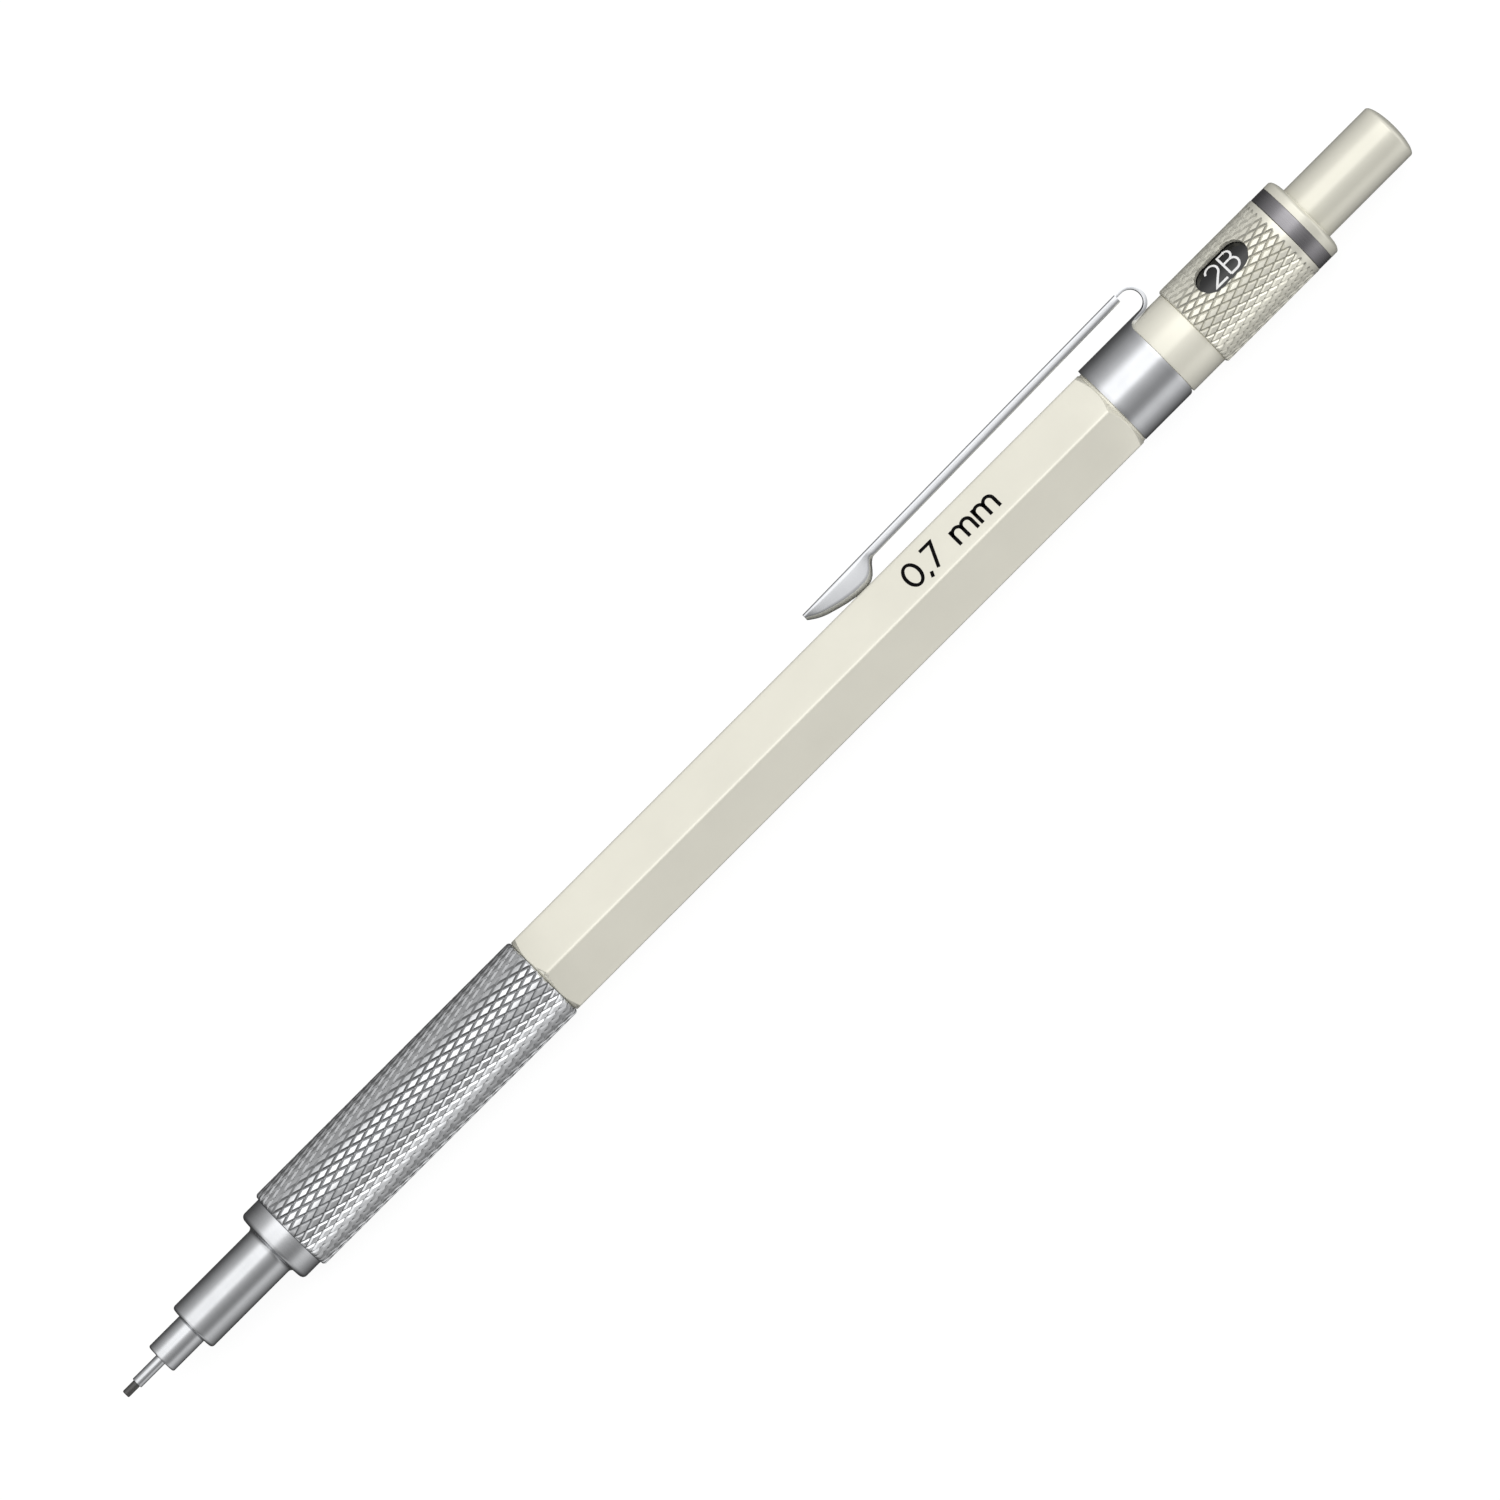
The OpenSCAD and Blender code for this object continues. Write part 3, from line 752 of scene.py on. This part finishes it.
def clip_ring(strip):
    """The ring round the barrel; returns the row that the strap grows from."""
    side = (SWEEP_ANGLE - STRAP_ANGLE) / SIDE_COLS
    angles = list(STRAP_ANGLES)
    angles += [STRAP_ANGLE + side * k for k in range(1, SIDE_COLS + 1)]
    angles += [SWEEP_ANGLE + (TURN - 2 * SWEEP_ANGLE) * k / ROUND_COLS for k in range(1, ROUND_COLS)]
    angles += [TURN - SWEEP_ANGLE + side * k for k in range(SIDE_COLS)]
    x_front = x_ring + 0.02
    ring_rows = 14
    rings = []
    for i in range(ring_rows + 1):
        row = []
        for a in angles:
            x = x_front + (ring_edge(a) - x_front) * i / ring_rows
            row.append(strip.vert(x, RING_MID * math.sin(a), RING_SHIFT + RING_MID * math.cos(a)))
        rings.append(row)
    for a, b in zip(rings, rings[1:]):
        strip.stitch(a + a[:1], b + b[:1])
    return rings[-1][:STRAP_COLS + 1]


def clip_loop(strip, row):
    """The strap from the ring round the loop to the arm; returns its last row."""
    x_fillet = x_ring_end + STRAP_REACH
    for t in (1 / 3, 2 / 3, 1):
        row = strip.next_row(row, x_fillet + (x_loop - x_fillet) * t, LOOP_H - LOOP_MID, 0, 1, 1 - 0.3 * t)
    steps = 28
    for k in range(1, steps + 1):
        a = -PI / 2 + PI * k / steps
        fade = 0.7 * max(0.0, 1 - 2.2 * k / steps)
        row = strip.next_row(row, x_loop + LOOP_MID * math.cos(a), LOOP_H + LOOP_MID * math.sin(a),
                             -math.cos(a), -math.sin(a), fade)
    return strip.next_row(row, x_loop - 0.3, PLATE_H, 0, 1, 0)


def keel_height(x):
    """Height of the arm's lower edge at a station."""
    run = x - x_arm_tip
    for (run0, h0), (run1, h1) in zip(KEEL, KEEL[1:]):
        if run <= run1:
            break
    return h0 + (h1 - h0) * (run - run0) / (run1 - run0)


def arm_section(x):
    """Height and half width of the arm's plate, and the points down its side as (w, h)."""
    t = (x_root - x) / (x_root - x_arm_tip)
    plate = PLATE_H - 0.46 * t + 0.03 * math.sin(PI * t)
    wide = (1.35 - 0.15 * t) * (1 - 0.05 * smooth_step((x_arm_tip + 1.2 - x) / 1.2) ** 2)
    low = keel_height(x) + SHEET * 0.25
    closed = smooth_step((x_heel + 0.35 - x) / 0.9)    # the sides close to a keel near the tip
    start = plate - FOLD
    side = []
    for k in range(1, FOLD_STEPS + 1):
        a = PI / 2 * k / FOLD_STEPS
        side.append((wide - FOLD + FOLD * math.sin(a), start + FOLD * math.cos(a)))
    curl = min(0.32, 0.6 * (start - low))
    for k in range(1, SIDE_STEPS + 1):
        s = k / SIDE_STEPS
        open_w, open_h = wide - 0.09 * s ** 5, start + (low - start) * s
        if k <= PANEL_STEPS:
            t = k / PANEL_STEPS
            shut_w, shut_h = wide - 0.045 * t ** 1.3, start + (low + curl - start) * t
        else:
            q = PI / 2 * (k - PANEL_STEPS) / (SIDE_STEPS - PANEL_STEPS)
            shut_w = 0.16 + (wide - 0.205) * math.cos(q)
            shut_h = low + curl * (1 - math.sin(q))
        side.append((open_w + (shut_w - open_w) * closed, open_h + (shut_h - open_h) * closed))
    return plate, wide, side


def arm_stations():
    """Stations from the arm's root to its tip, closer together from the heel on."""
    x_fine = x_heel + 0.6
    stations = [x_root - (x_root - x_fine) * k / 40 for k in range(41)]
    stations += [x_fine - 0.12 * k for k in range(1, 15)]
    x_last = stations[-1]
    return stations + [x_last - (x_last - x_arm_tip) * k / 42 for k in range(1, 43)]


def clip_arm(strip, strap):
    """The strap widens into a channel, whose sides close to a keel near the tip."""
    previous = None
    for x in arm_stations():
        plate, wide, side = arm_section(x)
        if previous:
            share = (wide - FOLD) / STRAP_HALF
            middle = [strip.vert(x, w * share, plate) for w in strip.widths]
        else:
            middle = strip.next_row(strap, x, plate, 0, 1, 0)
        right = [strip.vert(x, w, h) for w, h in side]
        left = [strip.vert(x, -w, h) for w, h in side]
        row = left[::-1] + middle + right
        if previous:
            strip.stitch(previous, row)
        previous = row
    strip.faces.append(tuple(previous))    # the keel is closed at its tip


def build_clip():
    strip = Strip()
    clip_arm(strip, clip_loop(strip, clip_ring(strip)))
    mesh = bpy.data.meshes.new("clip_bent")
    mesh.from_pydata([tuple(p) for p in strip.points], [], strip.faces)
    work = bmesh.new()
    work.from_mesh(mesh)
    bmesh.ops.recalc_face_normals(work, faces=work.faces)
    work.to_mesh(mesh)
    work.free()
    piece = bpy.data.objects.new("clip_bent", mesh)
    bpy.context.scene.collection.objects.link(piece)
    thick = piece.modifiers.new("sheet", "SOLIDIFY")
    thick.thickness = SHEET * MM
    thick.offset = 0
    thick.use_even_offset = True
    rim = piece.modifiers.new("rim", "BEVEL")
    rim.width = 0.11 * MM
    rim.segments = 3
    rim.limit_method = "ANGLE"
    rim.angle_limit = math.radians(50)
    bake(piece)
    piece.data.shade_smooth()
    piece.data.set_sharp_from_angle(angle=math.radians(50))
    piece.data.materials.clear()
    piece.data.materials.append(clip_metal)
    piece.visible_glossy = False   # the studio is seen by the ring as if the arm were not in the way
    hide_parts("clip_ring", "clip_loop", "clip_arm")
    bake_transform(piece)


build_clip()


# ---------------------------------------------------------------- grade indicator
WINDOW_ANGLE = math.radians(90.7)
WINDOW_HALF_LEN = 2.58
WINDOW_HALF_W = 1.40
WINDOW_X = x_ind + 4.87            # the window's middle along the pencil


def build_indicator():
    x0, x1 = x_ind, x_ind_end
    rim = 0.55                     # smooth rim behind the knurl
    crest = r_ind
    segments = KNURLS_AROUND * len(TOOTH)

    def limit(x):
        return crest - 0.12 + (x - x0) * CHAMFER_SLOPE

    def keep(x):
        return smooth_step((x1 - rim - x) / 0.14)

    rows = Rows()
    pitch = 1.81                   # length of a diamond, before it is fitted to the knurl's length
    knurl_start = x0 + 0.02
    knurl_end = x1 - rim + 0.1
    pitches = round((knurl_end - knurl_start) / pitch * 2) / 2
    first, last = knurl(rows, knurl_start, knurl_end, crest, SLEEVE_DEPTH, pitches, limit, keep)
    front = rows.turned([(x0, 3.40), (x0, 3.74)], segments)
    rows.join(front[-1], first)
    back = rows.turned(fillet([
        (knurl_end + 0.05, crest), (x1, crest, 0.05), (x1, 3.40), (x1 - 3, 3.40), (x0 + 3, 3.40),
    ]), segments)
    rows.join(last, back[0])
    rows.join(back[-1], front[0])
    piece = new_piece("indicator_knurled", rows.points, rows.faces, sharp=25, flank_shade=rows.flank_shade)

    # window cutter: a stadium that widens at the outside, which leaves a small chamfer
    cut = Rows()
    out = Vector((0, math.cos(WINDOW_ANGLE), math.sin(WINDOW_ANGLE)))
    side = out.cross(ALONG)
    loops = []
    for height, grow in ((2.9, 0.0), (3.85, 0.0), (3.90, 0.02), (4.6, 0.04)):
        loop = []
        for k in range(96):
            a = TURN * k / 96
            centre = WINDOW_HALF_LEN - WINDOW_HALF_W
            along = (centre if math.cos(a) > 0 else -centre) + (WINDOW_HALF_W + grow) * math.cos(a)
            across = (WINDOW_HALF_W + grow) * math.sin(a)
            loop.append((ALONG * (WINDOW_X + along) + side * across + out * height) * MM)
        loops.append(cut.ring(loop))
    for a, b in zip(loops, loops[1:]):
        cut.join(a, b)
    cut.faces.append(tuple(loops[0]))
    cut.faces.append(tuple(reversed(loops[-1])))
    cutter = new_piece("window_cutter", cut.points, cut.faces)
    opening = piece.modifiers.new("window", "BOOLEAN")
    opening.operation = "DIFFERENCE"
    opening.solver = "EXACT"
    opening.object = cutter
    bake(piece)
    bpy.data.objects.remove(cutter)
    piece.data.shade_smooth()
    piece.data.set_sharp_from_angle(angle=math.radians(25))
    finished(piece, "indicator", knurl_pearl, "cream", "indicator_sleeve")


build_indicator()


# ---------------------------------------------------------------- lettering
def arc(cx, cy, rx, ry, start, end, steps=14):
    return [(cx + rx * math.cos(math.radians(start + (end - start) * k / steps)),
             cy + ry * math.sin(math.radians(start + (end - start) * k / steps))) for k in range(steps + 1)]


# strokes of each sign in a box one unit high, as (width, list of lines)
SIGNS = {
    "0": (0.69, [arc(0.345, 0.5, 0.285, 0.45, 0, 360, 40)]),
    "7": (0.56, [[(0.02, 0.955), (0.52, 0.955), (0.13, 0.0)]]),
    ",": (0.14, [[(0.09, 0.09), (0.00, -0.12)]]),
    "m": (0.95, [[(0.06, 0.0), (0.06, 0.68)],
                 [(0.06, 0.42)] + arc(0.268, 0.42, 0.208, 0.225, 180, 0) + [(0.476, 0.0)],
                 [(0.476, 0.42)] + arc(0.684, 0.42, 0.208, 0.225, 180, 0) + [(0.892, 0.0)]]),
    "2": (0.66, [arc(0.32, 0.67, 0.27, 0.285, 165, -38) + [(0.05, 0.04), (0.62, 0.04)]]),
    "B": (0.68, [[(0.06, 0.04), (0.06, 0.96), (0.36, 0.96)] + arc(0.36, 0.745, 0.21, 0.215, 90, -90)
                 + [(0.06, 0.53)],
                 [(0.36, 0.53)] + arc(0.37, 0.285, 0.25, 0.245, 90, -90) + [(0.06, 0.04)]]),
    "H": (0.70, [[(0.06, 0.0), (0.06, 1.0)], [(0.60, 0.0), (0.60, 1.0)], [(0.06, 0.52), (0.60, 0.52)]]),
    "F": (0.60, [[(0.06, 0.0), (0.06, 0.96), (0.54, 0.96)], [(0.06, 0.52), (0.46, 0.52)]]),
}


def ribbon(line, half):
    """Left and right edges of a line drawn with a flat pen."""
    closed = math.dist(line[0], line[-1]) < 1e-6
    pts = line[:-1] if closed else line
    n = len(pts)
    left, right = [], []
    for i, (x, y) in enumerate(pts):
        before = pts[i - 1] if closed or i else None
        after = pts[(i + 1) % n] if closed or i < n - 1 else None
        dirs = []
        if before is not None:
            dirs.append(Vector((x - before[0], y - before[1])).normalized())
        if after is not None:
            dirs.append(Vector((after[0] - x, after[1] - y)).normalized())
        mean = sum(dirs, Vector((0, 0))).normalized()
        normal = Vector((-mean.y, mean.x))
        stretch = 1 / max(0.45, normal.dot(Vector((-dirs[0].y, dirs[0].x))))
        left.append((x + normal.x * half * stretch, y + normal.y * half * stretch))
        right.append((x - normal.x * half * stretch, y - normal.y * half * stretch))
    return left, right, closed


def lettering(name, text, height, stroke, gap, place, thick=0.012):
    """Thin printed signs. place(u, v, lift) puts a point of the flat layout on the object."""
    points, faces = [], []
    pen = 0.0
    half = stroke / height / 2
    for sign in text:
        if sign == " ":
            pen += 0.50
            continue
        width, lines = SIGNS[sign]
        for line in lines:
            dense = [line[0]]
            for a, b in zip(line, line[1:]):
                parts = max(1, int(math.dist(a, b) / 0.12))
                dense += [(a[0] + (b[0] - a[0]) * k / parts, a[1] + (b[1] - a[1]) * k / parts)
                          for k in range(1, parts + 1)]
            left, right, closed = ribbon(dense, half)
            base = len(points)
            for (lx, ly), (rx, ry) in zip(left, right):
                for x, y in ((lx, ly), (rx, ry)):
                    for lift in (-0.01, thick):
                        points.append(place((pen + x) * height, y * height, lift))
            n = len(left)
            for k in range(n if closed else n - 1):
                a, b = base + 4 * k, base + 4 * ((k + 1) % n)
                faces += [(a + 1, b + 1, b + 3, a + 3), (a, a + 2, b + 2, b),
                          (a, b, b + 1, a + 1), (a + 2, a + 3, b + 3, b + 2)]
            if not closed:
                e = base + 4 * (n - 1)
                faces += [(base, base + 1, base + 3, base + 2), (e, e + 2, e + 3, e + 1)]
        pen += width + gap
    return new_piece(name, points, faces, smooth=False)


def build_print():
    """The lead size, printed on the upper flat."""
    start, baseline, height = 88.05, -1.23, 2.33

    def place(u, v, lift):
        return Vector((start + u, baseline + v, flats_half + lift)) * MM

    finished(lettering("print_size", "0,7 mm", height, 0.30, 0.10, place), "barrel_body", ink, "black")


build_print()


def build_drum():
    outline = fillet([
        (x_drum, 3.0), (x_drum, r_drum, 0.08), (x_drum_end, r_drum, 0.08), (x_drum_end, 3.0),
    ])
    finished(lathe("drum_turned", outline, 160, closed=True), "barrel_body", black, "black", "grade_drum")
    grades = ["2B", "B", "HB", "F", "H", "2H"]
    height, letter_gap = 2.11, 0.09
    for index, grade in enumerate(grades):
        middle = math.radians(88.4) + TURN * index / len(grades)
        wide = (sum(SIGNS[s][0] for s in grade) + letter_gap * (len(grade) - 1)) * height

        def place(u, v, lift, middle=middle, wide=wide):
            angle = middle - (v - height / 2) / r_drum
            return ring_point(WINDOW_X - wide / 2 + u, r_drum + lift, angle)

        sign = lettering("grade_" + grade, grade, height, 0.19, letter_gap, place)
        finished(sign, "barrel_body", white_ink, "black")


build_drum()


# ---------------------------------------------------------------- rings and button
def build_rear():
    band = fillet([(x_band + 0.02, 3.0), (x_band + 0.02, 3.865, 0.03), (x_band_end - 0.01, 3.865, 0.03),
                   (x_band_end - 0.01, 3.0)])
    band = lathe("band_turned", band, 192, closed=True)
    finished(band, "barrel_body", band_metal, "dark_band", "band_ring")
    steps = 12
    shoulder_x, shoulder_r = x_end + 0.55, 2.80        # centre of the rounded shoulder
    quarter = [PI / 2 * k / steps for k in range(steps + 1)]
    shoulder = [(shoulder_x + 0.47 * math.sin(a), shoulder_r + 1.07 * math.cos(a)) for a in quarter]
    ring = [(x_end, 3.0), (x_end, 3.85), (x_end + 0.02, 3.87)] + shoulder
    ring += [(x_end_end, 2.70), (x_end_end - 0.04, 2.66), (x_barrel_end, 2.66), (x_barrel_end, 3.0)]
    ring = lathe("end_ring_moulded", ring, 192, closed=True)
    finished(ring, "barrel_body", pearl, "cream", "end_ring")
    dome, dome_steps, wall_steps = 0.67, 18, 10
    bore_r, x_roof = 2.05, x_tip - 0.9
    x_corner = x_tip - dome
    cap = [(x_skirt, bore_r), (x_skirt, r_button - 0.06), (x_skirt + 0.06, r_button)]
    cap += [(x_skirt + (x_corner - x_skirt) * k / wall_steps, r_button) for k in range(1, wall_steps + 1)]
    for k in range(1, dome_steps):
        a = PI / 2 * k / dome_steps
        cap.append((x_corner + dome * math.sin(a), r_button * math.cos(a)))
    cap += [(x_tip, 0)]
    rows = Rows()
    rows.turned(cap, 160)
    rows.turned([(x_skirt, bore_r), (x_roof, bore_r), (x_roof, 0)], 160)
    button = new_piece("button_moulded", rows.points, rows.faces)
    finished(button, "button_cap", pearl, "cream", "push_button")


build_rear()


# ---------------------------------------------------------------- spring
END_CROWDING = 0.162               # share by which the coils stand closer at both ends


def build_spring():
    turns, per_turn, sides = 9, 28, 10
    wire_r, mid_r = 0.16, 1.5
    x0, x1 = x_spring + wire_r, x_spring_end - wire_r
    rows = Rows()
    rings = []
    count = turns * per_turn
    for i in range(count + 1):
        t = i / count
        x = x0 + (x1 - x0) * (t - END_CROWDING * math.sin(TURN * t) / TURN)
        a = TURN * i / per_turn
        ring = []
        for k in range(sides):
            s = TURN * k / sides
            ring.append(ring_point(x + wire_r * math.sin(s), mid_r + wire_r * math.cos(s), a))
        rings.append(rows.ring(ring))
    for a, b in zip(rings, rings[1:]):
        rows.join(a, b)
    rows.faces.append(tuple(rings[0]))
    rows.faces.append(tuple(reversed(rings[-1])))
    piece = new_piece("spring_coiled", rows.points, rows.faces)
    finished(piece, "barrel_body", wire, "spring_steel", "return_spring")
    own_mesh(piece)


build_spring()


# ---------------------------------------------------------------- inner pieces kept as designed
KEPT = {
    "lead_retainer": (rubber, "rubber"), "clutch_ring": (brass, "brass"), "chuck": (brass, "brass"),
    "clutch_sleeve": (brass, "brass"), "chuck_connector": (brass, "brass"),
    "lead_tube": (tube_grey, "tube_grey"), "friction_ring": (rubber, "rubber"),
    "eraser_holder": (steel, "nose_steel"), "eraser": (eraser_white, "eraser_white"),
}
for node, (made, slot_name) in KEPT.items():
    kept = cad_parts[node]
    kept.data.materials.clear()
    kept.data.materials.append(made)
    kept.data.shade_smooth()
    kept.data.set_sharp_from_angle(angle=math.radians(30))


# ---------------------------------------------------------------- floor, light and air
def card(name, centre, normal, size_x, size_y, made):
    """A flat rectangle on the stage, long side along the pencil."""
    normal = normal.normalized()
    side = normal.cross(ALONG).normalized()
    corners = [centre + ALONG * size_x / 2 * i + side * size_y / 2 * j
               for i, j in ((-1, -1), (1, -1), (1, 1), (-1, 1))]
    piece = new_piece(name, corners, [(0, 1, 2, 3)], smooth=False)
    piece.data.materials.append(made)
    return piece


floor_paint = plastic("studio_floor", (0.12, 0.12, 0.12), 0.9, mottling=0.003, grain=0.02)
fix(floor_paint, "Specular IOR Level", 0.0)
fix(floor_paint, "Emission Color", (1, 1, 1, 1))
fix(floor_paint, "Emission Strength", 0.93)
floor = card("studio_floor", Vector((0.07, 0, cad_low.z)), Vector((0, 0, 1)), 6.0, 6.0, floor_paint)
floor.visible_glossy = False       # below the horizon the pencil mirrors the studio's grey walls
floor.visible_diffuse = False      # nor does the floor light it

# grey of the studio walls at each angle from +Y towards +Z, as the polished parts mirror it
STUDIO = [
    (-88, 0.07), (-32, 0.07), (-8, 0.13), (14, 0.25), (31, 0.39), (46, 0.53), (60, 0.72), (70, 1.08),
    (78, 1.42), (86, 1.48), (97, 1.42), (113, 1.52), (119, 1.36), (125, 0.82), (134, 0.60), (145, 0.45),
    (157, 0.345), (168, 0.32), (177, 0.42), (187, 0.68), (197, 0.78), (209, 0.68), (228, 0.42), (250, 0.22),
]


END_WALL_GREY = 0.62
SEAM_GREY = 0.48                   # straight towards -Y, where the table's ends meet


def studio_air():
    """World whose grey depends on the angle round the pencil and grows along it."""
    air = bpy.data.worlds.new("air")
    air.use_nodes = True
    link = air.node_tree.links.new
    background = air.node_tree.nodes["Background"]
    coords = add(air, "ShaderNodeTexCoord")
    split = add(air, "ShaderNodeSeparateXYZ")
    turn = add(air, "ShaderNodeMath", operation="ARCTAN2")
    ramp = add(air, "ShaderNodeValToRGB")
    link(coords.outputs["Generated"], split.inputs["Vector"])
    link(split.outputs["Z"], turn.inputs[0])
    link(split.outputs["Y"], turn.inputs[1])
    link(remap(air, turn.outputs["Value"], 0.0, 1.0, -PI, PI), ramp.inputs["Fac"])
    tones = sorted((((angle + 180) % 360) / 360, grey) for angle, grey in STUDIO)
    elements = ramp.color_ramp.elements
    elements[0].position, elements[1].position = 0.0, 1.0
    for end in elements:
        end.color = (SEAM_GREY, SEAM_GREY, SEAM_GREY, 1)
    for position, grey in tones:
        elements.new(position).color = (grey, grey, grey, 1)
    end_wall = remap(air, split.outputs["X"], 0.0, 1.0, 0.70, 0.92)      # one tone straight behind the cap
    end_wall.node.interpolation_type = "SMOOTHSTEP"
    mix = add(air, "ShaderNodeMix", data_type="RGBA")
    mix.inputs[7].default_value = (END_WALL_GREY, END_WALL_GREY, END_WALL_GREY, 1)
    link(end_wall, mix.inputs["Factor"])
    link(ramp.outputs["Color"], mix.inputs[6])
    link(mix.outputs[2], background.inputs["Color"])
    lean = remap(air, split.outputs["X"], 0.72, 1.28, -0.6, 0.6)         # brighter behind the cap
    lean.node.interpolation_type = "SMOOTHSTEP"
    link(lean, background.inputs["Strength"])
    bpy.context.scene.world = air


studio_air()
bpy.context.scene.view_settings.view_transform = "Standard"
bpy.context.scene.view_settings.look = "None"
